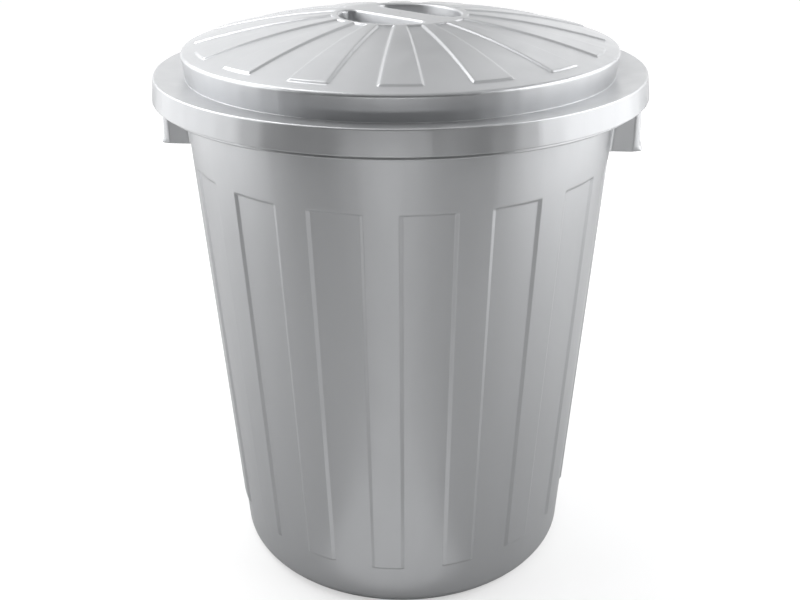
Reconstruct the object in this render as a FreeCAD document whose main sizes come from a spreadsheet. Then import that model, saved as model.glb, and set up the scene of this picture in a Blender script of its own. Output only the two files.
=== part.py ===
import FreeCAD, Part
import math
import os
import re
import Sketcher

# Round utility trash can with a lift-off lid, both injection moulded in plastic.
# Millimetres; +Z up, floor at Z = 0, the two carry handles on the X axis, front at -Y.

SIZES = {
    # Can: a tapered pail whose wall is laid out from the outer face of its ribs
    "can_height": 496.4,
    "wall_foot_radius": 174.3,
    "wall_top_radius": 202.6,
    "can_thickness": 2.4,
    "floor_thickness": 3.0,
    "base_round": 12.0,
    "foot_width": 30.5,
    "foot_height": 4.0,
    # Wall relief: ribs hang from the plain upper band, strips open into the lower band
    "relief_depth": 1.8,
    "rib_count": 16,
    "rib_angle": 9.3,
    "lower_band": 48.5,
    "handle_margin": 9.0,
    # Turned-down rim and the two handle boxes below it
    "rim_reach": 20.9,
    "rim_fall": 2.4,
    "rim_drop": 22.9,
    "edge_break": 2.2,
    "handle_count": 2,
    "handle_width": 80.0,
    "handle_drop": 66.9,
    "handle_flare": 4.6,
    "flare_height": 14.0,
    # Lid: skirt over the rim, ledge, raised shoulder and a domed top
    "lid_thickness": 2.4,
    "seat_gap": 0.3,
    "skirt_gap": 1.1,
    "skirt_drop": 20.8,
    "skirt_flare": 2.7,
    "shoulder_inset": 3.9,
    "shoulder_swell": 2.8,
    "dome_radius": 730.0,
    "crown_rise": 49.0,
    # Raised petals round the collar of the grip
    "petal_count": 16,
    "petal_angle": 10.5,
    "petal_relief": 1.6,
    "petal_margin": 9.2,
    "collar_width": 6.5,
    # Grip: a bar left standing between two finger wells
    "well_radius": 56.5,
    "well_depth": 26.0,
    "well_corner": 10.0,
    "well_draft": 8.0,
    "well_floor_break": 3.0,
    "well_rim_break": 1.5,
    "grip_width": 29.0,
    "gate_radius": 1.6,
    "gate_depth": 0.4,
    "lid_turn": -40.25,
}

UPRIGHT = FreeCAD.Vector(0, 0, 1)
NEAR = 0.01
ROUND_STEPS = 4
PETAL_STEPS = 3

doc = FreeCAD.newDocument("trash_can")
sheet = doc.addObject("Spreadsheet::Sheet", "Sizes")
for row, (alias, number) in enumerate(SIZES.items(), start=1):
    sheet.set(f"A{row}", alias)
    sheet.set(f"B{row}", str(number))
    sheet.setAlias(f"B{row}", alias)
doc.recompute()


def bound(formula):
    """The formula with each of the sheet's aliases written in full."""
    return re.sub(r"[a-z_]+", lambda word: f"Sizes.{word[0]}" if word[0] in SIZES else word[0], formula)


def amount(formula):
    """The number that a formula of the sheet's aliases gives."""
    return float(sheet.evalExpression(bound(formula)))


def tie(feature, prop, formula):
    feature.setExpression(prop, bound(formula))


def origin_part(body, role):
    return next(part for part in body.Origin.OriginFeatures if part.Role == role)


def new_sketch(body, name, plane, height="0"):
    sketch = body.newObject("Sketcher::SketchObject", name)
    sketch.AttachmentSupport = [(origin_part(body, plane), "")]
    sketch.MapMode = "FlatFace"
    tie(sketch, "AttachmentOffset.Base.z", height)
    return sketch


def measure(sketch, formula, kind, *places):
    """Dimension of a sketch that follows a formula."""
    index = sketch.addConstraint(Sketcher.Constraint(kind, *places, amount(formula)))
    tie(sketch, f"Constraints[{index}]", formula)


def pin(sketch, geometry, position, x, y):
    """Fix one end of a sketch element at a pair of formulas."""
    for kind, formula, zero_line in (("DistanceX", x, -2), ("DistanceY", y, -1)):
        if formula == "0":
            sketch.addConstraint(Sketcher.Constraint("PointOnObject", geometry, position, zero_line))
        else:
            measure(sketch, formula, kind, -1, 1, geometry, position)


def join(sketch, *pairs, kind="Coincident"):
    """Join pairs of ends, each written as element, end, element, end."""
    for pair in pairs:
        sketch.addConstraint(Sketcher.Constraint(kind, *pair))


def outline(body, name, plane, corners, height="0"):
    """Closed sketch of straight edges through corners given as pairs of formulas."""
    sketch = new_sketch(body, name, plane, height)
    points = [FreeCAD.Vector(amount(x), amount(y), 0) for x, y in corners]
    for start, finish in zip(points, points[1:] + points[:1]):
        sketch.addGeometry(Part.LineSegment(start, finish))
    for index, (x, y) in enumerate(corners):
        join(sketch, ((index - 1) % len(corners), 2, index, 1))
        pin(sketch, index, 1, x, y)
    return sketch


def turned(body, name, sketch, kind="Revolution", angle=None, axis="V_Axis"):
    """Revolve a sketch about an axis of its own: right round, or through an angle about its plane."""
    feature = body.newObject(f"PartDesign::{kind}", name)
    feature.Profile = sketch
    feature.ReferenceAxis = (sketch, [axis])
    feature.Angle = 360
    if angle:
        feature.Midplane = True
        tie(feature, "Angle", angle)
    return feature


def pulled(body, name, sketch, length, kind="Pad", draft=None, downward=False):
    """Pad or pocket a sketch by a length, narrowing by a draft angle where one is given."""
    feature = body.newObject(f"PartDesign::{kind}", name)
    feature.Profile = sketch
    feature.Reversed = downward
    tie(feature, "Length", length)
    if draft:
        tie(feature, "TaperAngle", draft)
    return feature


def around(body, name, originals, count):
    pattern = body.newObject("PartDesign::PolarPattern", name)
    pattern.Originals = originals
    pattern.Axis = (origin_part(body, "Z_Axis"), [""])
    pattern.Angle = 360
    tie(pattern, "Occurrences", count)
    body.Tip = pattern


def chamfered(body, name, size, wanted):
    """Break the edges of the body that the wanted function picks."""
    doc.recompute()
    base = body.Tip
    chosen = [f"Edge{number}" for number, edge in enumerate(base.Shape.Edges, start=1) if wanted(edge)]
    if not chosen:
        raise RuntimeError(f"{name}: no edge found")
    chamfer = body.newObject("PartDesign::Chamfer", name)
    chamfer.Base = (base, chosen)
    tie(chamfer, "Size", size)
    body.Tip = chamfer


def level_edges(height, within):
    """Picks edges that lie flat at a height, wholly inside a radius."""
    level, reach = amount(height), amount(within)

    def test(edge):
        box = edge.BoundBox
        flat = abs(box.ZMin - level) < NEAR and abs(box.ZMax - level) < NEAR
        return flat and all(math.hypot(p.x, p.y) < reach for p in edge.discretize(5))

    return test


# Shared formulas: the tapered wall, the rim's top face and the lid's dome

rim_radius = "(wall_top_radius + rim_reach)"


def wall(height, offset="0"):
    """Radius of the ribs' outer face at a height, plus an offset."""
    return f"wall_foot_radius + (wall_top_radius - wall_foot_radius) * ({height}) / can_height + {offset}"


def rim_top(radius):
    """Height of the rim's top face, which falls a little towards the inside."""
    return f"can_height - rim_fall * ({rim_radius} - ({radius})) / rim_reach"


crown = "can_height + crown_rise"
collar_radius = "(well_radius + collar_width)"
dome_centre = f"{crown} - sqrt((dome_radius + petal_relief)^2 - {collar_radius}^2)"


def dome(radius, offset="0"):
    """Height of the dome, or of a surface that runs at an offset from it."""
    return f"{dome_centre} + sqrt((dome_radius + {offset})^2 - ({radius})^2)"


# Can: floor, tapered wall and turned-down rim in one turned profile.
# The wall steps out to the plain upper band, and the inside steps with it.

can = doc.addObject("PartDesign::Body", "can_body")
can.Label = "can_body"

foot_radius = "(wall_foot_radius - relief_depth - base_round - foot_width)"
handle_bottom = "(can_height - handle_drop)"
band_bottom = f"({handle_bottom} - handle_margin)"
flange_under = "can_height - rim_fall - can_thickness"
inner_step = f"{band_bottom} + can_thickness"
skirt_inside = f"{rim_radius} - can_thickness"
rim_bottom = "can_height - rim_drop"
mouth = rim_top("wall_top_radius - can_thickness")
sunk = "-relief_depth"
sunk_inside = "-relief_depth - can_thickness"
inner_break = "base_round / 2"


def base_corner(turn):
    """Point of the rounding between floor and wall, from 0 degrees on the floor to 90 on the wall."""
    height = f"base_round * (1 - cos({turn} deg))"
    return wall(height, f"-relief_depth - base_round * (1 - sin({turn} deg))"), height


can_profile = outline(can, "can_profile", "XZ_Plane", [
    ("0", "foot_height"),
    (f"{foot_radius} - foot_height", "foot_height"),
    (foot_radius, "0"),
    (wall("0", "-relief_depth - base_round"), "0"),
    *(base_corner(90 * step / ROUND_STEPS) for step in range(1, ROUND_STEPS + 1)),
    (wall(band_bottom, sunk), band_bottom),
    (wall(band_bottom), band_bottom),
    (wall(flange_under), flange_under),
    (skirt_inside, rim_top(skirt_inside) + " - can_thickness"),
    (skirt_inside, rim_bottom),
    (rim_radius, rim_bottom),
    (rim_radius, "can_height"),
    (wall(mouth, "-can_thickness"), mouth),
    (wall(inner_step, "-can_thickness"), inner_step),
    (wall(inner_step, sunk_inside), inner_step),
    (wall(f"floor_thickness + {inner_break}", sunk_inside), f"floor_thickness + {inner_break}"),
    (wall("floor_thickness", f"{sunk_inside} - {inner_break}"), "floor_thickness"),
    (foot_radius, "floor_thickness"),
    (f"{foot_radius} - foot_height", "foot_height + floor_thickness"),
    ("0", "foot_height + floor_thickness"),
])
can.Tip = turned(can, "can_shell", can_profile)

# Ribs stand out from the sunk wall and run up into the band; each is hollow
# behind, so that the wall keeps one thickness.

rib_profile = outline(can, "rib_profile", "XZ_Plane", [
    (wall("lower_band", "-relief_depth - can_thickness / 2"), "lower_band"),
    (wall("lower_band"), "lower_band"),
    (wall(band_bottom), band_bottom),
    (wall(band_bottom, "-relief_depth - can_thickness / 2"), band_bottom),
])
rib = turned(can, "rib", rib_profile, angle="rib_angle")
around(can, "ribs", [rib], "rib_count")

hollow_bottom = "lower_band + can_thickness"
rib_hollow_profile = outline(can, "rib_hollow_profile", "XZ_Plane", [
    (wall(hollow_bottom, "-2 * relief_depth - can_thickness"), hollow_bottom),
    (wall(hollow_bottom, "-can_thickness"), hollow_bottom),
    (wall(inner_step, "-can_thickness"), inner_step),
    (wall(inner_step, "-2 * relief_depth - can_thickness"), inner_step),
])
rib_hollow = turned(can, "rib_hollow", rib_hollow_profile, kind="Groove",
                    angle="rib_angle - 2 * asin(can_thickness / wall_foot_radius) / 1 deg")
around(can, "rib_hollows", [rib_hollow], "rib_count")

# Handles: the rim's skirt runs on down as a finger wall between two flat gussets,
# with the box that they make left open below. The lower edge is rolled outwards.

flare_top = f"{handle_bottom} + flare_height"
buried = "can_height - rim_drop / 2"
finger_wall_profile = outline(can, "finger_wall_profile", "XZ_Plane", [
    (skirt_inside, buried),
    (skirt_inside, flare_top),
    (skirt_inside + " + handle_flare", handle_bottom),
    (rim_radius + " + handle_flare", handle_bottom),
    (rim_radius, flare_top),
    (rim_radius, buried),
])
gusset_middle = "(handle_width - can_thickness) / 2"
finger_wall = turned(can, "finger_wall", finger_wall_profile,
                     angle=f"2 * asin({gusset_middle} / {rim_radius}) / 1 deg")


def chord(radius):
    """Distance from the YZ plane at which a gusset's outer face cuts a circle."""
    return f"sqrt(({radius})^2 - (handle_width / 2)^2)"


gusset_top = "can_height - rim_fall - can_thickness / 2"
gussets = []
for side, start in (("front", "handle_width / 2 - can_thickness"), ("back", "-handle_width / 2")):
    gusset_profile = outline(can, f"{side}_gusset_profile", "XZ_Plane", [
        (chord(wall(handle_bottom, "-can_thickness / 2")), handle_bottom),
        (chord(rim_radius) + " + handle_flare", handle_bottom),
        (chord(rim_radius), flare_top),
        (chord(rim_radius), buried),
        (chord(rim_radius + " - can_thickness / 2"), gusset_top),
        (chord(wall(gusset_top, "-can_thickness / 2")), gusset_top),
    ], height=start)
    gussets.append(pulled(can, f"{side}_gusset", gusset_profile, "can_thickness"))
around(can, "handles", [finger_wall] + gussets, "handle_count")

# Lid: a turned blank with a skirt round the rim, a ledge on it and a leaning shoulder.
# A sphere cuts its top to the dome, and a groove hollows it from below.

lid = doc.addObject("PartDesign::Body", "lid")
lid.Label = "lid"
tie(lid, "Placement.Rotation.Angle", "lid_turn * 1 deg")

shoulder_foot = "(wall_top_radius - shoulder_inset)"
brow = f"({shoulder_foot} + shoulder_swell)"
skirt_top = f"({rim_radius} + skirt_gap + lid_thickness)"
skirt_foot = f"({skirt_top} + skirt_flare)"
skirt_bottom = "can_height + seat_gap + lid_thickness - skirt_drop"


def ledge(radius):
    """Height of the ledge, whose underside follows the rim at the seat gap."""
    return rim_top(radius) + " + seat_gap + lid_thickness"


brow_level = f"({dome(brow)} - edge_break)"
skirt_shoulder = f"({skirt_top} - edge_break)"
blank_profile = outline(lid, "lid_blank_profile", "XZ_Plane", [
    ("0", crown),
    (f"{brow} - ({crown} - {brow_level})", crown),
    (brow, brow_level),
    (shoulder_foot, ledge(shoulder_foot)),
    (skirt_shoulder, ledge(skirt_shoulder)),
    (skirt_top, ledge(skirt_top) + " - edge_break"),
    (skirt_foot, skirt_bottom),
    ("0", skirt_bottom),
])
lid.Tip = turned(lid, "lid_blank", blank_profile)


def dome_outline():
    """Sketch of all that lies above the dome, with a level line through its centre as the axis."""
    sketch = new_sketch(lid, "dome_outline", "XZ_Plane")
    over = f"{dome_centre} + dome_radius + {skirt_foot} / 2"
    reach, middle, top_level = amount(skirt_foot), amount(dome_centre), amount(over)
    lean = math.acos(reach / amount("dome_radius"))
    centre = FreeCAD.Vector(0, middle, 0)
    circle = Part.Circle(centre, UPRIGHT, amount("dome_radius"))
    arc = sketch.addGeometry(Part.ArcOfCircle(circle, lean, math.pi - lean))
    near_end, far_end = (circle.value(turn) for turn in (lean, math.pi - lean))
    near_corner, far_corner = (FreeCAD.Vector(x, top_level, 0) for x in (reach, -reach))
    far_side = sketch.addGeometry(Part.LineSegment(far_end, far_corner))
    top = sketch.addGeometry(Part.LineSegment(far_corner, near_corner))
    side = sketch.addGeometry(Part.LineSegment(near_corner, near_end))
    axis = sketch.addGeometry(Part.LineSegment(centre, FreeCAD.Vector(reach, middle, 0)), True)
    join(sketch, (arc, 2, far_side, 1), (far_side, 2, top, 1), (top, 2, side, 1), (side, 2, arc, 1),
         (arc, 3, axis, 1))
    join(sketch, (top, 1, top, 2, -2), (arc, 1, arc, 2, -2), kind="Symmetric")
    sketch.addConstraint(Sketcher.Constraint("Vertical", side))
    pin(sketch, arc, 3, "0", dome_centre)
    pin(sketch, top, 2, skirt_foot, over)
    pin(sketch, axis, 2, skirt_foot, dome_centre)
    measure(sketch, "dome_radius", "Radius", arc)
    return sketch


lid.Tip = turned(lid, "dome", dome_outline(), kind="Groove",
                 angle=f"4 * asin({skirt_foot} / dome_radius) / 1 deg", axis="Axis0")

skin = "-lid_thickness"
foot_inside = f"({shoulder_foot} - lid_thickness)"
brow_inside = f"({foot_inside} + shoulder_swell)"
halfway = f"(({collar_radius} + {brow_inside}) / 2)"
hollow_profile = outline(lid, "lid_hollow_profile", "XZ_Plane", [
    ("0", skirt_bottom),
    (f"{skirt_foot} - lid_thickness", skirt_bottom),
    (f"{skirt_top} - lid_thickness", ledge(skirt_top) + " - lid_thickness"),
    (foot_inside, ledge(foot_inside) + " - lid_thickness"),
    (brow_inside, dome(brow_inside, skin)),
    (halfway, dome(halfway, skin)),
    (collar_radius, dome(collar_radius, skin)),
    ("0", dome(collar_radius, skin)),
])
lid.Tip = turned(lid, "lid_hollow", hollow_profile, kind="Groove")

# Collar: the flat disc that carries the grip

half_skin = "-lid_thickness / 2"
collar_profile = outline(lid, "collar_profile", "XZ_Plane", [
    ("0", dome(collar_radius, half_skin)),
    (collar_radius, dome(collar_radius, half_skin)),
    (collar_radius, crown),
    ("0", crown),
])
lid.Tip = turned(lid, "collar", collar_profile)

# Petals: low raised sectors that run out from the collar

petal_end = f"({shoulder_foot} - petal_margin)"
petal_top_end = f"({petal_end} - petal_relief)"
petal_line = [f"({collar_radius} + ({petal_top_end} - {collar_radius}) * {step} / {PETAL_STEPS})"
              for step in range(PETAL_STEPS + 1)]
petal_profile = outline(lid, "petal_profile", "XZ_Plane", [
    *((radius, dome(radius, "petal_relief")) for radius in petal_line),
    (petal_end, dome(petal_end)),
    (petal_end, dome(petal_end, half_skin)),
    *((radius, dome(radius, half_skin)) for radius in reversed(petal_line)),
])
petal = turned(lid, "petal", petal_profile, angle="petal_angle")
around(lid, "petals", [petal], "petal_count")


# Grip: two D-shaped finger wells with drafted sides leave a bar between them.
# Each well is a cup of the lid's own thickness below the crown.

def well_outline(name, side, offset):
    """D-shaped sketch on the crown, at an offset from the edge of one well."""
    sketch = new_sketch(lid, name, "XY_Plane", crown)
    radius = f"(well_radius + {offset})"
    corner = f"(well_corner + {offset})"
    flat = f"(grip_width / 2 - {offset})"
    corner_height = f"({flat} + {corner})"
    corner_reach = f"sqrt(({radius} - {corner})^2 - {corner_height}^2)"
    bulge, edge, nub = amount(radius), amount(flat), amount(corner)
    across, along = amount(corner_reach), amount(corner_height)
    lean = math.atan2(along, across)

    def arc(x, y, size, start, finish):
        circle = Part.Circle(FreeCAD.Vector(x, side * y, 0), UPRIGHT, size)
        turns = (start, finish) if side > 0 else (-finish, -start)
        return sketch.addGeometry(Part.ArcOfCircle(circle, *turns))

    big = arc(0, 0, bulge, lean, math.pi - lean)
    right = arc(across, along, nub, -math.pi / 2, lean)
    left = arc(-across, along, nub, math.pi - lean, 3 * math.pi / 2)
    level = FreeCAD.Vector(0, side * edge, 0)
    reach = FreeCAD.Vector(across, 0, 0)
    straight = sketch.addGeometry(Part.LineSegment(level - reach, level + reach))
    first, last = (1, 2) if side > 0 else (2, 1)
    join(sketch, (big, first, right, last), (big, last, left, first), (right, first, straight, 2),
         (left, last, straight, 1), kind="Tangent")
    join(sketch, (big, 3, -1, 1))
    sketch.addConstraint(Sketcher.Constraint("Horizontal", straight))
    sketch.addConstraint(Sketcher.Constraint("Equal", right, left))
    measure(sketch, radius, "Radius", big)
    measure(sketch, corner, "Radius", right)
    ends = ((-1, 1), (straight, 1))[::side]
    measure(sketch, flat, "DistanceY", *ends[0], *ends[1])
    return sketch


for place, side in (("far", 1), ("near", -1)):
    cup_outline = well_outline(f"{place}_cup_outline", side, "lid_thickness")
    pulled(lid, f"{place}_cup", cup_outline, "well_depth + lid_thickness",
           draft="-well_draft * 1 deg", downward=True)
for place, side in (("far", 1), ("near", -1)):
    floor_outline = well_outline(f"{place}_well_outline", side, "0")
    lid.Tip = pulled(lid, f"{place}_well", floor_outline, "well_depth", kind="Pocket",
                     draft="-well_draft * 1 deg")

chamfered(lid, "well_floor_edges", "well_floor_break", level_edges(crown + " - well_depth", collar_radius))
chamfered(lid, "well_rims", "well_rim_break", level_edges(crown, "well_radius + lid_thickness / 2"))

# Gate mark: the small round scar of the moulding in the middle of the grip

gate_sketch = new_sketch(lid, "gate_outline", "XY_Plane", crown)
gate = gate_sketch.addGeometry(Part.Circle(FreeCAD.Vector(0, 0, 0), UPRIGHT, amount("gate_radius")))
join(gate_sketch, (gate, 3, -1, 1))
measure(gate_sketch, "gate_radius", "Radius", gate)
lid.Tip = pulled(lid, "gate_mark", gate_sketch, "gate_depth", kind="Pocket")

doc.recompute()

for item in doc.Objects:
    if "Invalid" in item.State or "Error" in item.State:
        raise RuntimeError(f"{item.Name} failed: {item.State}")

os.makedirs("parts", exist_ok=True)
for body in (can, lid):
    shape = body.Shape
    if shape.isNull() or not shape.isValid() or len(shape.Solids) != 1:
        raise RuntimeError(f"{body.Label} is not one valid solid")
    print(f"{body.Label}: {shape.Volume / 1e3:.1f} cm3, box {shape.BoundBox}")
for body in (can, lid):
    body.Shape.exportStep(f"parts/{body.Label}.step")
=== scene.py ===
import math

import bmesh
import bpy
from mathutils import Euler, Matrix


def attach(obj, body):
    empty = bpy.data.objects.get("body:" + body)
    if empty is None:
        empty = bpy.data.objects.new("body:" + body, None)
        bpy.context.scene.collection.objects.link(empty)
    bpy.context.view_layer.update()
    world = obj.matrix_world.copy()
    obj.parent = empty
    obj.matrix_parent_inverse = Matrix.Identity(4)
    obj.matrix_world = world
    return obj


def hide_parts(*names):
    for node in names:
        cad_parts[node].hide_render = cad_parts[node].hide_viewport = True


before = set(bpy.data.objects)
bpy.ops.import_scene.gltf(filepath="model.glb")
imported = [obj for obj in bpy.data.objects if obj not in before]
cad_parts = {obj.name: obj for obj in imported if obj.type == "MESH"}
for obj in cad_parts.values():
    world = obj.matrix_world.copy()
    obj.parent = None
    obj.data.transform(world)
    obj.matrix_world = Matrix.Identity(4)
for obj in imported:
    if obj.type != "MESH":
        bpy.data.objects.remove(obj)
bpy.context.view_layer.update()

# Can: one injection moulding in grey plastic, a tapered pail of one thickness with a
# turned-down rim that has a small bead along its lower edge. Sixteen hollow ribs hang from the
# plain band at the top, and the sunk strips between them open into the plain band at the foot.

MM = 0.001
can_height = 496.4
wall_foot_radius = 174.3
wall_top_radius = 202.6
can_wall = 2.4
floor_wall = 3.0
relief = 1.8
rib_count = 16
rib_half_turn = math.radians(9.3 / 2)
rib_side = 1.6
rib_end = 1.3
rib_bottom = 48.5
band_bottom = 420.5
rim_radius = 223.5
rim_bottom = 473.5
rim_fall = 2.4
bead_height = 1.3
bead_depth = 1.1
bead_run = 4.0
side_steps = (-2.1, -1.6, -1.1, 1.1, 1.6, 2.1)
end_steps = (-2.6, -1.3, -0.65, 0.0, 0.65, 1.3, 2.6)


def wall_radius(height):
    """Radius of the ribs' outer face."""
    return wall_foot_radius + (wall_top_radius - wall_foot_radius) * height / can_height


def rim_level(radius):
    """Top face of the rim, which falls a little towards the mouth."""
    return can_height - rim_fall * (rim_radius - radius) / (rim_radius - wall_top_radius)


def ease(amount):
    """Smooth step from 0 to 1."""
    amount = min(max(amount, 0.0), 1.0)
    return amount * amount * (3 - 2 * amount)


def ramp(distance, half_width):
    """Height share on a straight drafted side, at a distance into the raised field."""
    return min(max((distance + half_width) / (2 * half_width), 0.0), 1.0)


def rise(distance, half_width):
    """Height share on a side with soft edges."""
    return ease(ramp(distance, half_width))


def rounded(corners, steps=5):
    """Profile through corners (across, up, rounding), with an arc at each rounded one."""
    profile = []
    for index, (across, up, rounding) in enumerate(corners):
        if not rounding:
            profile.append((across, up))
            continue
        arms = []
        for other in (corners[index - 1], corners[index + 1]):
            reach = math.hypot(other[0] - across, other[1] - up)
            arms.append(((other[0] - across) / reach, (other[1] - up) / reach))
        (ax, ay), (bx, by) = arms
        half = math.acos(max(-1.0, min(1.0, ax * bx + ay * by))) / 2
        spread = math.hypot(ax + bx, ay + by)
        middle = rounding / math.sin(half) / spread
        cx, cy = across + (ax + bx) * middle, up + (ay + by) * middle
        run = rounding / math.tan(half)
        start = math.atan2(up + ay * run - cy, across + ax * run - cx)
        finish = math.atan2(up + by * run - cy, across + bx * run - cx)
        turn = (finish - start + math.pi) % (2 * math.pi) - math.pi
        for step in range(steps + 1):
            angle = start + turn * step / steps
            profile.append((cx + rounding * math.cos(angle), cy + rounding * math.sin(angle)))
    return profile


def moulding(name, points, faces):
    """Mesh object of points in millimetres, smooth, with flat faces kept flat."""
    mesh = bpy.data.meshes.new(name)
    mesh.from_pydata([(x * MM, y * MM, z * MM) for x, y, z in points], [], faces)
    shape = bmesh.new()
    shape.from_mesh(mesh)
    bmesh.ops.recalc_face_normals(shape, faces=shape.faces)
    shape.to_mesh(mesh)
    shape.free()
    mesh.shade_smooth()
    piece = bpy.data.objects.new(name, mesh)
    bpy.context.scene.collection.objects.link(piece)
    flat_first = piece.modifiers.new("flat_first", "WEIGHTED_NORMAL")
    flat_first.keep_sharp = True
    return piece


def strip(first, second, closed=True):
    """Faces between two rows of point numbers."""
    count = len(first)
    spans = range(count if closed else count - 1)
    return [(first[i], first[(i + 1) % count], second[(i + 1) % count], second[i]) for i in spans]


def relief_columns(count, half_turn, steps, raised_fill, sunk_fill):
    """Lines of a relief as (angle, way into the raised field, distance into it).

    The fills are shares of a field's width, where the lines are spaced widely.
    """
    columns = []
    pitch = 2 * math.pi / count
    deep = 1e3
    gap = pitch - 2 * half_turn
    for number in range(count):
        middle = number * pitch
        columns += [(middle + half_turn * share, 0, deep) for share in raised_fill if share >= 0]
        columns += [(middle + half_turn, -1, step) for step in reversed(steps)]
        columns += [(middle + half_turn + gap * share, 0, -deep) for share in sunk_fill]
        columns += [(middle + pitch - half_turn, 1, step) for step in steps]
        columns += [(middle + pitch + half_turn * share, 0, deep) for share in raised_fill if share < 0]
    return columns


rib_fill = (-0.45, 0.0, 0.45)
strip_fill = (0.2, 0.4, 0.6, 0.8)
can_columns = relief_columns(rib_count, rib_half_turn, side_steps, rib_fill, strip_fill)


def can_ring(radius, height, face, shift):
    """One ring of the can. Face is 1 on the outside with relief, -1 inside, 0 where it is plain."""
    ring = []
    raised = can_wall if face < 0 else 0.0
    lower = rib_bottom + raised
    upper = band_bottom + raised
    for angle, way, inside in can_columns:
        local = radius
        if face:
            rib = ramp(inside, rib_side) * rise(height - lower, rib_end)
            band = rise(height - upper, rib_end)
            local -= relief * (1 - rib) * (1 - band)
        turn = angle + way * (inside + shift) / radius
        ring.append((local * math.cos(turn), local * math.sin(turn), height))
    return ring


foot_levels = (20.0, 30.0, 40.0)
rib_levels = range(65, 410, 30)
band_levels = (430.0, 445.0, 460.0, 475.0)


def wall_levels(raised):
    """Heights of the wall's rings, closest at the two ends of the ribs."""
    rib_foot = [rib_bottom + raised + step for step in end_steps]
    rib_head = [band_bottom + raised + step for step in end_steps]
    return [*foot_levels, *rib_foot, *rib_levels, *rib_head, *band_levels]


hub_radius = 40.0
raised_radius = 126.0
raised_foot_radius = 130.0
raised_height = 4.0
raised_round = 2.0
foot_flat_radius = 160.5
base_round = 12.0
round_steps = 10
under_profile = rounded([
    (hub_radius, raised_height, 0),
    (raised_radius, raised_height, raised_round),
    (raised_foot_radius, 0.0, raised_round),
    (foot_flat_radius, 0.0, 0),
])
for step in range(1, round_steps + 1):
    lean = math.pi / 2 * step / round_steps
    level = base_round * (1 - math.cos(lean))
    inset = relief + base_round * (1 - math.sin(lean))
    under_profile.append((wall_radius(level) - inset, level))
flange_level = can_height - rim_fall - can_wall
skirt_inside = rim_radius - can_wall
rim_face = rim_radius - bead_depth
rim_root_level = 480.0
mouth_level = 494.0
mouth_inside_level = 483.0
mouth_radius = wall_radius(mouth_level) - can_wall
rim_profile = rounded([
    (wall_radius(rim_root_level), rim_root_level, 0),
    (wall_radius(flange_level), flange_level, 3.5),
    (skirt_inside, rim_level(skirt_inside) - can_wall, 2.0),
    (skirt_inside, rim_bottom, 1.1),
    (rim_radius, rim_bottom, 1.1),
    (rim_radius, rim_bottom + bead_height, 0.3),
    (rim_face, rim_bottom + bead_height + bead_run, 1.0),
    (rim_face, can_height, 2.4),
    (mouth_radius, rim_level(mouth_radius), 1.6),
    (wall_radius(mouth_inside_level) - can_wall, mouth_inside_level, 0),
])
floor_join_level = 16.0
floor_profile = rounded([
    (wall_radius(floor_join_level) - relief - can_wall, floor_join_level, 0),
    (wall_radius(floor_wall) - relief - can_wall, floor_wall, 11.0),
    (raised_foot_radius, floor_wall, raised_round),
    (raised_radius, floor_wall + raised_height, raised_round),
    (hub_radius, floor_wall + raised_height, 0),
])

can_rings = [can_ring(radius, height, 0, 0.0) for radius, height in under_profile]
can_rings += [can_ring(wall_radius(height), height, 1, 0.0) for height in wall_levels(0.0)]
for place, (radius, height) in enumerate(rim_profile):
    can_rings.append(can_ring(radius, height, 0, can_wall * place / (len(rim_profile) - 1)))
for height in reversed(wall_levels(can_wall)):
    can_rings.append(can_ring(wall_radius(height) - can_wall, height, -1, can_wall))
can_rings += [can_ring(radius, height, 0, can_wall) for radius, height in floor_profile]

can_points = [point for ring in can_rings for point in ring]
can_around = len(can_columns)
can_rows = [list(range(start, start + can_around)) for start in range(0, len(can_points), can_around)]
can_faces = [face for first, second in zip(can_rows, can_rows[1:]) for face in strip(first, second)]
can_faces += [tuple(can_rows[0]), tuple(can_rows[-1])]

# Handles: on each side the rim's skirt runs down as a finger wall between two gussets,
# all one with the can. The box is open below, and its lower edge is rolled outwards.

handle_half = 40.0
handle_bottom = 429.5
handle_corner = 6.0
handle_fillet = 3.5
handle_lean = 2.2
handle_lip = 2.0
lip_top = 435.5
lip_height = 5.0
handle_levels = (489.0, 473.0, 461.0, 451.0, 445.0, 440.0, 437.0, 435.5, 434.5, 433.5, 432.5, 431.5)
fillet_steps = (-1.0, 0.0, 0.12, 0.45, 1.0, 1.7, 2.6, 3.5)
handle_tuck = 0.15
corner_steps = 9
corner_still = 0.3
finger_steps = 8
lip_round = 1.1
lip_steps = 6


def handle_line(height, inset, face):
    """Outer (face 1) or inner (face -1) line of the handle's wall, from the can round and back."""
    wall = wall_radius(height)
    drop = max(0.0, rim_bottom - height)
    lean = handle_lean * drop / (rim_bottom - handle_bottom)
    lip = handle_lip * ease((lip_top - height) / lip_height)
    line = []
    for step in fillet_steps:
        depth = handle_fillet - max(step, 0.0)
        swell = handle_fillet - math.sqrt(handle_fillet ** 2 - depth ** 2)
        across = handle_half - inset + face * swell
        line.append((math.sqrt(wall ** 2 - across ** 2) + step, across))
    middle_y = handle_half - handle_corner
    middle_x = math.sqrt((rim_radius - handle_corner) ** 2 - middle_y ** 2)
    corner_end = math.atan2(middle_y, middle_x)
    corner = handle_corner - inset
    for step in range(corner_steps + 1):
        share = step / corner_steps
        angle = math.pi / 2 + (corner_end - math.pi / 2) * share
        x, y = middle_x + corner * math.cos(angle), middle_y + corner * math.sin(angle)
        push = 1 + (lean + lip) * ease((share - corner_still) / (1 - corner_still)) / math.hypot(x, y)
        line.append((x * push, y * push))
    reach = rim_radius - inset + lean + lip
    for step in range(1, finger_steps + 1):
        angle = corner_end * (1 - step / finger_steps)
        line.append((reach * math.cos(angle), reach * math.sin(angle)))
    return line + [(x, -y) for x, y in reversed(line[:-1])]


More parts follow.
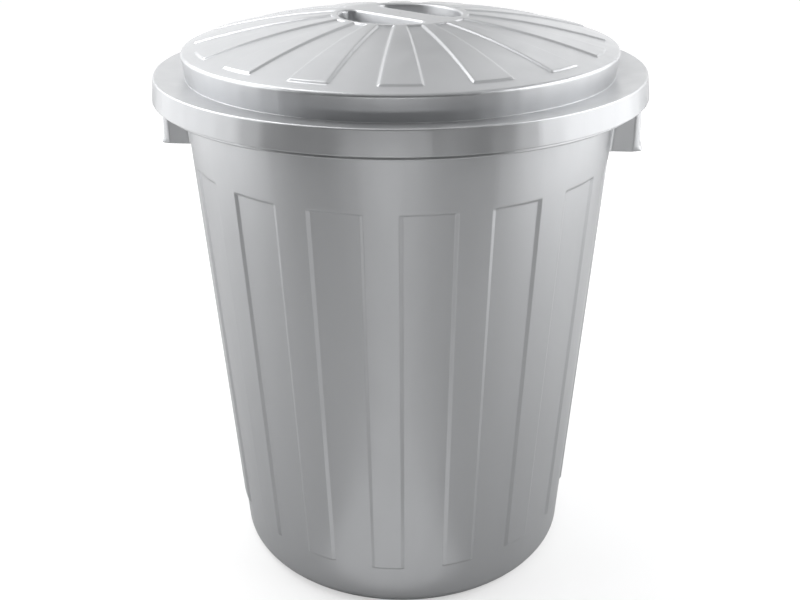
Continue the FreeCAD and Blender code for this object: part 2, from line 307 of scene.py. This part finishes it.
for side in (1, -1):
    rows = []
    for height in handle_levels:
        inset = bead_depth + handle_tuck if height > rim_bottom else 0.0
        rows.append([(x, y, height) for x, y in handle_line(height, inset, 1)])
    outer = handle_line(handle_bottom, 0.0, 1)
    inner = handle_line(handle_bottom, can_wall, -1)
    for step in range(lip_steps + 1):
        angle = math.pi * step / lip_steps
        share = (1 - math.cos(angle)) / 2
        level = handle_bottom + lip_round * (1 - math.sin(angle))
        rows.append([(a[0] + (b[0] - a[0]) * share, a[1] + (b[1] - a[1]) * share, level)
                     for a, b in zip(outer, inner)])
    for height in reversed(handle_levels):
        rows.append([(x, y, height) for x, y in handle_line(height, can_wall, -1)])
    numbers = []
    for row in rows:
        numbers.append(list(range(len(can_points), len(can_points) + len(row))))
        can_points += [(side * x, side * y, z) for x, y, z in row]
    for first, second in zip(numbers, numbers[1:] + numbers[:1]):
        can_faces += strip(first, second, closed=False)
    can_faces += [tuple(row[0] for row in numbers), tuple(row[-1] for row in numbers)]

can = moulding("can_moulding", can_points, can_faces)
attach(can, "can")
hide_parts("can_body")

# Lid: one injection moulding of the same grey plastic that hangs over the rim by its skirt.
# A ledge and a leaning shoulder carry the dome, with sixteen low petals round the grip,
# a bar left standing between two finger wells. The scar of the gate is in its middle.

lid_turn = math.radians(-40.25)
lid_wall = 2.4
dome_radius = 730.0
dome_middle = -183.484
crown_level = 545.4
crown_under = 541.4
crown_edge = 62.0
collar_radius = 63.0
petal_count = 16
petal_half_turn = math.radians(10.5 / 2)
petal_relief = 1.6
petal_side = 1.5
petal_end = 188.7
petal_end_side = 1.2
collar_side = 0.7
petal_steps = (-3.0, -1.4, -0.7, 0.0, 0.7, 1.4, 3.0)
petal_fill = (-0.25, 0.0, 0.25)
valley_fill = (0.37, 0.5, 0.63)
petal_columns = relief_columns(petal_count, petal_half_turn, petal_steps, petal_fill, valley_fill)


def dome_level(radius, offset=0.0):
    """Height of the dome between the petals, or of the surface at an offset from it."""
    return dome_middle + math.sqrt((dome_radius + offset) ** 2 - radius ** 2)


def lid_ring(radius, height=None):
    """One ring of the lid: at a height, or on the dome with its petals where none is given."""
    ring = []
    for angle, way, inside in petal_columns:
        level = height
        if height is None:
            petal = rise(inside, petal_side) * rise(petal_end - radius, petal_end_side)
            collar = rise(collar_radius - radius, collar_side)
            lift = 1 - (1 - petal) * (1 - collar)
            level = min(crown_level, dome_level(radius) + petal_relief * lift)
        turn = angle + way * inside / radius + lid_turn
        ring.append((radius * math.cos(turn), radius * math.sin(turn), level))
    return ring


lid_skirt_top = 227.0
lid_skirt_foot = 229.7
lid_skirt_bottom = 478.3
ledge_edge_level = 499.5
shoulder_foot = 198.7
shoulder_level = 496.25
brow_radius = 201.5
dome_edge = 194.0
inner_foot = 196.3
inner_foot_level = 493.6
inner_brow = 199.1
inner_dome_edge = 190.0
collar_rows = (62.2, 62.6, 63.0, 63.4, 63.8, 65.5)
petal_rows = range(70, 186, 8)
petal_end_rows = (187.4, 188.1, 188.7, 189.3, 190.0, 191.5)
outside_profile = rounded([
    (dome_edge, dome_level(dome_edge), 0),
    (brow_radius, dome_level(brow_radius), 3.4),
    (shoulder_foot, shoulder_level, 0.5),
    (lid_skirt_top, ledge_edge_level, 1.6),
    (lid_skirt_foot, lid_skirt_bottom, 0.7),
    (lid_skirt_foot - lid_wall, lid_skirt_bottom, 0.8),
    (lid_skirt_top - lid_wall, ledge_edge_level - lid_wall, 2.0),
    (inner_foot, inner_foot_level, 3.0),
    (inner_brow, dome_level(inner_brow, -lid_wall), 2.5),
    (inner_dome_edge, dome_level(inner_dome_edge, -lid_wall), 0),
])
under_rows = [*range(182, 66, -12), collar_radius, crown_edge]

lid_rings = [lid_ring(crown_edge, crown_level)]
lid_rings += [lid_ring(radius) for radius in (*collar_rows, *petal_rows, *petal_end_rows)]
lid_rings += [lid_ring(radius, height) for radius, height in outside_profile]
for radius in under_rows:
    lid_rings.append(lid_ring(radius, min(crown_under, dome_level(radius, -lid_wall))))

lid_points = [point for ring in lid_rings for point in ring]
lid_around = len(petal_columns)
lid_rows = [list(range(start, start + lid_around)) for start in range(0, len(lid_points), lid_around)]
lid_faces = [face for first, second in zip(lid_rows, lid_rows[1:]) for face in strip(first, second)]

well_radius = 56.5
well_corner = 10.0
bar_half = 14.5
well_depth = 26.0
well_floor = crown_level - well_depth
well_draft = math.tan(math.radians(8.0))
cup_floor = well_floor - lid_wall
cup_lip = -1.84
cup_foot = 1.6
gate_radius = 1.6
gate_depth = 0.4
gate_bevel = 0.06
gate_sides = 8
corner_y = bar_half + well_corner
corner_x = math.sqrt((well_radius - well_corner) ** 2 - corner_y ** 2)
corner_turn = math.atan2(corner_y, corner_x)
corner_split = math.radians(-30.0)
gate_turns = [math.pi * step / gate_sides for step in range(gate_sides, -1, -1)]
bar_arm = [-60.0, -56.0, -52.0, -48.0, -44.0, -corner_x, -30.0, -20.0, -12.0, -6.0, -3.0]
gate_line = [gate_radius * math.cos(turn) for turn in gate_turns]
bar_line = bar_arm + gate_line + [-x for x in reversed(bar_arm)]
gate_start = len(bar_arm)


def lid_point(x, y, z):
    """Point number of a new point given along and across the bar."""
    lid_points.append((x * math.cos(lid_turn) - y * math.sin(lid_turn),
                       x * math.sin(lid_turn) + y * math.cos(lid_turn), z))
    return len(lid_points) - 1


def well_loop(offset, side):
    """D-shaped line of a well at an offset into it, in step with the collar and then the bar."""
    corner = well_corner - offset
    line = []
    for angle, way, inside in petal_columns[:lid_around // 2] + [(math.pi, 0, 0.0)]:
        turn = angle + way * inside / crown_edge
        if turn < corner_turn:
            lean = corner_split + (corner_turn - corner_split) * turn / corner_turn
            line.append((corner_x + corner * math.cos(lean), corner_y + corner * math.sin(lean)))
        elif turn > math.pi - corner_turn:
            lean = corner_split + (corner_turn - corner_split) * (math.pi - turn) / corner_turn
            line.append((-corner_x - corner * math.cos(lean), corner_y + corner * math.sin(lean)))
        else:
            reach = well_radius - offset
            line.append((reach * math.cos(turn), reach * math.sin(turn)))
    for x in bar_line:
        if abs(x) <= corner_x:
            line.append((x, bar_half + offset))
            continue
        share = (crown_edge - abs(x)) / (crown_edge - corner_x)
        lean = corner_split + (-math.pi / 2 - corner_split) * share
        along = math.copysign(corner_x + corner * math.cos(lean), x)
        line.append((along, corner_y + corner * math.sin(lean)))
    return [(x * side, y * side) for x, y in line]


def grip_wells(rim_row, level, profile, gated):
    """Crown between a ring and the two wells, then each well's loops down to its floor."""
    half = lid_around // 2
    bar = [lid_point(x, 0.0, level) for x in bar_line]
    gates = []
    for side, ring_part in ((1, rim_row[:half + 1]), (-1, rim_row[half:] + rim_row[:1])):
        line = list(bar) if side > 0 else list(reversed(bar))
        if gated:
            for place in range(1, gate_sides):
                turn = gate_turns[place]
                line[gate_start + place] = lid_point(side * gate_radius * math.cos(turn),
                                                     side * gate_radius * math.sin(turn), level)
            gates += line[gate_start:gate_start + gate_sides]
        edge = ring_part + line
        for offset, height in profile:
            loop = [lid_point(x, y, height) for x, y in well_loop(offset, side)]
            lid_faces.extend(strip(edge, loop))
            edge = loop
        lid_faces.append(tuple(edge))
    return gates


top_profile = rounded([
    (-6.0, crown_level, 0),
    (0.0, crown_level, 2.6),
    ((crown_level - well_floor) * well_draft, well_floor, 4.0),
    (12.0, well_floor, 0),
], steps=7)
cup_profile = rounded([
    (-8.0, crown_under, 0),
    (cup_lip, crown_under, 1.8),
    (cup_foot, cup_floor, 5.0),
    (12.0, cup_floor, 0),
])
gate_rim = grip_wells(lid_rows[0], crown_level, top_profile[1:-1], True)
grip_wells(lid_rows[-1], crown_under, cup_profile[1:-1], False)
gate_edge = gate_rim
for radius, depth in ((1.45, gate_bevel), (1.25, gate_depth - gate_bevel), (1.05, gate_depth)):
    share = radius / gate_radius
    ring = []
    for number in gate_rim:
        x, y, _ = lid_points[number]
        lid_points.append((x * share, y * share, crown_level - depth))
        ring.append(len(lid_points) - 1)
    lid_faces += strip(gate_edge, ring)
    gate_edge = ring
lid_faces.append(tuple(gate_edge))

lid = moulding("lid_moulding", lid_points, lid_faces)
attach(lid, "lid")
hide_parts("lid")

# Plastic: silver-grey polypropylene through and through, with fine aluminium flake in it.
# The mould was spark-eroded, so the skin is satin with a grain well under a millimetre,
# and the flake lies in faint clouds where the melt flowed.


def moulded_satin():
    """Shader group: cloudy colour, uneven polish and the fine grain of the mould."""
    cloud_scale = 14.0
    speck_scale = 900.0
    polish_scale = 55.0
    grain_scale = 1600.0
    polish_spread = 0.04
    speck_share = 0.4
    flow_stretch = (1.0, 1.0, 0.35)
    group = bpy.data.node_groups.new("moulded_satin", "ShaderNodeTree")
    colour_kind = "NodeSocketColor"
    value_kind = "NodeSocketFloat"
    for socket, kind, way in (("Colour", colour_kind, "INPUT"), ("Polish", value_kind, "INPUT"),
                              ("Cloud", value_kind, "INPUT"), ("Colour", colour_kind, "OUTPUT"),
                              ("Roughness", value_kind, "OUTPUT"), ("Height", value_kind, "OUTPUT")):
        group.interface.new_socket(socket, in_out=way, socket_type=kind)
    nodes, links = group.nodes, group.links
    given, out = nodes.new("NodeGroupInput"), nodes.new("NodeGroupOutput")
    place = nodes.new("ShaderNodeTexCoord")
    flow = nodes.new("ShaderNodeMapping")
    flow.inputs["Scale"].default_value = flow_stretch
    links.new(place.outputs["Object"], flow.inputs["Vector"])

    def noise(scale, detail, vector):
        texture = nodes.new("ShaderNodeTexNoise")
        texture.inputs["Scale"].default_value = scale
        texture.inputs["Detail"].default_value = detail
        links.new(vector, texture.inputs["Vector"])
        return texture.outputs["Fac"]

    def spread(value, low, high):
        span = nodes.new("ShaderNodeMapRange")
        span.inputs["From Min"].default_value = 0.3
        span.inputs["From Max"].default_value = 0.7
        span.inputs["To Min"].default_value = low
        span.inputs["To Max"].default_value = high
        links.new(value, span.inputs["Value"])
        return span.outputs["Result"]

    def maths(operation, first, second):
        node = nodes.new("ShaderNodeMath")
        node.operation = operation
        links.new(first, node.inputs[0])
        links.new(second, node.inputs[1])
        return node.outputs[0]

    spot = place.outputs["Object"]
    along_flow = flow.outputs["Vector"]
    clouds = spread(noise(cloud_scale, detail=4.0, vector=along_flow), -1.0, 1.0)
    specks = spread(noise(speck_scale, detail=2.0, vector=spot), -speck_share, speck_share)
    shade = maths("MULTIPLY", maths("ADD", clouds, specks), given.outputs["Cloud"])
    tint = nodes.new("ShaderNodeHueSaturation")
    level = nodes.new("ShaderNodeMath")
    level.operation = "ADD"
    level.inputs[1].default_value = 1.0
    links.new(shade, level.inputs[0])
    links.new(level.outputs[0], tint.inputs["Value"])
    links.new(given.outputs["Colour"], tint.inputs["Color"])
    links.new(tint.outputs["Color"], out.inputs["Colour"])
    uneven = spread(noise(polish_scale, detail=3.0, vector=along_flow), -polish_spread, polish_spread)
    links.new(maths("ADD", given.outputs["Polish"], uneven), out.inputs["Roughness"])
    links.new(noise(grain_scale, detail=2.0, vector=spot), out.inputs["Height"])
    return group


satin = moulded_satin()
silver_grey = (0.492, 0.5, 0.512)
satin_polish = 0.38
flake_share = 0.75
cloud_share = 0.015
polypropylene_ior = 1.49
grain_strength = 0.12
grain_height = 0.0002


def plastic(name):
    """Material of one moulding: the satin skin on a plastic with flake."""
    material = bpy.data.materials.new(name)
    material.use_nodes = True
    nodes, links = material.node_tree.nodes, material.node_tree.links
    shader = nodes["Principled BSDF"]
    shader.inputs["IOR"].default_value = polypropylene_ior
    shader.inputs["Metallic"].default_value = flake_share
    skin = nodes.new("ShaderNodeGroup")
    skin.node_tree = satin
    skin.inputs["Colour"].default_value = (*silver_grey, 1.0)
    skin.inputs["Polish"].default_value = satin_polish
    skin.inputs["Cloud"].default_value = cloud_share
    grain = nodes.new("ShaderNodeBump")
    grain.inputs["Strength"].default_value = grain_strength
    grain.inputs["Distance"].default_value = grain_height
    links.new(skin.outputs["Colour"], shader.inputs["Base Color"])
    links.new(skin.outputs["Roughness"], shader.inputs["Roughness"])
    links.new(skin.outputs["Height"], grain.inputs["Height"])
    links.new(grain.outputs["Normal"], shader.inputs["Normal"])
    return material


can.data.materials.append(plastic("can_plastic_satin"))
lid.data.materials.append(plastic("lid_plastic_satin"))

# Studio: a pale floor that looks white to the camera, less so round the foot, where the shadow
# stays, a bright wall behind and a lit ceiling. The room in front is dark. Soft boxes stand at the
# sides and behind, and light panels on the floor in front show as the stripe down the can's wall.

floor_half = 4
floor_grey = 0.45
floor_roughness = 0.9
shadow_reach = 0.5
white_reach = 1.6
foot_white = 0.5
far_white = 0.82
floor_corners = [(x * floor_half, y * floor_half, 0) for x, y in ((-1, -1), (1, -1), (1, 1), (-1, 1))]
floor_mesh = bpy.data.meshes.new("studio_floor")
floor_mesh.from_pydata(floor_corners, [], [(0, 1, 2, 3)])
floor = bpy.data.objects.new("studio_floor", floor_mesh)
bpy.context.scene.collection.objects.link(floor)
paper = bpy.data.materials.new("floor_paper")
paper.use_nodes = True
paper_nodes, paper_links = paper.node_tree.nodes, paper.node_tree.links
paper_shader = paper_nodes["Principled BSDF"]
paper_shader.inputs["Base Color"].default_value = (floor_grey, floor_grey, floor_grey, 1.0)
paper_shader.inputs["Roughness"].default_value = floor_roughness
paper_shader.inputs["Emission Color"].default_value = (1.0, 1.0, 1.0, 1.0)
paper_place = paper_nodes.new("ShaderNodeTexCoord")
paper_reach = paper_nodes.new("ShaderNodeVectorMath")
paper_reach.operation = "LENGTH"
paper_links.new(paper_place.outputs["Object"], paper_reach.inputs[0])
paper_white = paper_nodes.new("ShaderNodeMapRange")
for socket, value in (("From Min", shadow_reach), ("From Max", white_reach),
                      ("To Min", foot_white), ("To Max", far_white)):
    paper_white.inputs[socket].default_value = value
paper_links.new(paper_reach.outputs["Value"], paper_white.inputs["Value"])
paper_path = paper_nodes.new("ShaderNodeLightPath")
paper_glow = paper_nodes.new("ShaderNodeMath")
paper_glow.operation = "MULTIPLY"
paper_links.new(paper_path.outputs["Is Camera Ray"], paper_glow.inputs[0])
paper_links.new(paper_white.outputs["Result"], paper_glow.inputs[1])
paper_links.new(paper_glow.outputs[0], paper_shader.inputs["Emission Strength"])
floor.data.materials.append(paper)

wall_bright = 0.42
wall_start = 0.2
wall_full = 0.7
ceiling_bright = 0.64
ceiling_start = 0.5
ceiling_full = 0.95
world = bpy.data.worlds.new("studio_surround")
bpy.context.scene.world = world
world.use_nodes = True
sky_nodes, sky_links = world.node_tree.nodes, world.node_tree.links
sky = sky_nodes["Background"]
sky.inputs["Color"].default_value = (1.0, 1.0, 1.0, 1.0)
sky_way = sky_nodes.new("ShaderNodeTexCoord")
sky_parts = sky_nodes.new("ShaderNodeSeparateXYZ")
sky_links.new(sky_way.outputs["Generated"], sky_parts.inputs["Vector"])


def glow_towards(axis, start, full, level):
    """Light of the surround that comes in softly towards one axis."""
    glow = sky_nodes.new("ShaderNodeMapRange")
    glow.interpolation_type = "SMOOTHSTEP"
    for socket, value in (("From Min", start), ("From Max", full), ("To Min", 0.0), ("To Max", level)):
        glow.inputs[socket].default_value = value
    sky_links.new(sky_parts.outputs[axis], glow.inputs["Value"])
    return glow.outputs["Result"]


sky_sum = sky_nodes.new("ShaderNodeMath")
sky_sum.operation = "ADD"
sky_links.new(glow_towards("Y", wall_start, wall_full, wall_bright), sky_sum.inputs[0])
sky_links.new(glow_towards("Z", ceiling_start, ceiling_full, ceiling_bright), sky_sum.inputs[1])
sky_path = sky_nodes.new("ShaderNodeLightPath")
sky_level = sky_nodes.new("ShaderNodeMix")
sky_level.inputs["B"].default_value = 1.0
sky_links.new(sky_path.outputs["Is Camera Ray"], sky_level.inputs["Factor"])
sky_links.new(sky_sum.outputs[0], sky_level.inputs["A"])
sky_links.new(sky_level.outputs["Result"], sky.inputs["Strength"])


def soft_box(name, place, aim, width, height, brightness):
    """Area lamp turned to a point, out of the camera's sight."""
    lamp = bpy.data.lights.new(name, "AREA")
    lamp.shape = "RECTANGLE"
    lamp.size, lamp.size_y = width, height
    lamp.energy = brightness * math.pi * width * height
    box = bpy.data.objects.new(name, lamp)
    bpy.context.scene.collection.objects.link(box)
    box.visible_camera = False
    box.location = place
    away = [a - b for a, b in zip(place, aim)]
    turn = math.atan2(away[0], -away[1])
    box.rotation_euler = (math.acos(away[2] / math.dist(place, aim)), 0.0, turn)


can_middle = (0.0, 0.0, 0.5)
side_place = 1.1
low_level = 0.35
low_back = 0.1
high_level = 0.95
back_low_level = 0.55
panel_level = 0.003
for name, side, low, high, back in (("left", -1, 1.6, 3.6, 0.9), ("right", 1, 1.95, 4.2, 1.0)):
    low_place = (side * side_place, low_back, low_level)
    low_aim = (0.0, low_back, low_level)
    high_place = (side * side_place, 0.0, high_level)
    back_place = (side * 0.6, 1.1, 1.25)
    soft_box(name + "_low_box", low_place, low_aim, width=1.5, height=0.6, brightness=low)
    soft_box(name + "_high_box", high_place, can_middle, width=1.5, height=0.6, brightness=high)
    soft_box(name + "_back_box", back_place, can_middle, width=0.9, height=0.8, brightness=back)
left_top_place = (-0.7, 0.2, 1.4)
soft_box("left_top_box", left_top_place, can_middle, width=0.5, height=0.8, brightness=5.15)
back_low_place = (0.0, 1.6, back_low_level)
back_low_aim = (0.0, 0.0, back_low_level)
soft_box("back_low_box", back_low_place, back_low_aim, width=3.2, height=0.8, brightness=0.95)
for name, near, far, width, glow in (("near", 0.19, 0.7, 0.22, 0.34), ("middle", 0.7, 1.5, 0.4, 0.45),
                                     ("far", 2.1, 3.4, 1.9, 5.4)):
    middle = -(near + far) / 2
    above = (0.0, middle, can_middle[2])
    soft_box(name + "_panel", (0.0, middle, panel_level), above, width, far - near, glow)

# Camera: a little right of the front, looking down at the lid. Its place, its turn and its
# focal length in pixels were fitted to edges in the photo.

camera_place = (0.07684, -0.93786, 0.69789)
camera_turn = math.radians(4.782)
camera_dip = math.radians(25.255)
camera_roll = math.radians(-0.338)
focal_pixels = 997.884
image_width = 800
lens = bpy.data.cameras.new("photo_camera")
lens.sensor_width = 36.0
lens.lens = lens.sensor_width * focal_pixels / image_width
camera = bpy.data.objects.new("photo_camera", lens)
bpy.context.scene.collection.objects.link(camera)
camera.location = camera_place
aimed = Euler((math.pi / 2 - camera_dip, 0.0, camera_turn)).to_matrix()
camera.rotation_euler = (aimed @ Matrix.Rotation(camera_roll, 3, "Z")).to_euler()
bpy.context.scene.camera = camera
bpy.context.scene.view_settings.view_transform = "Standard"
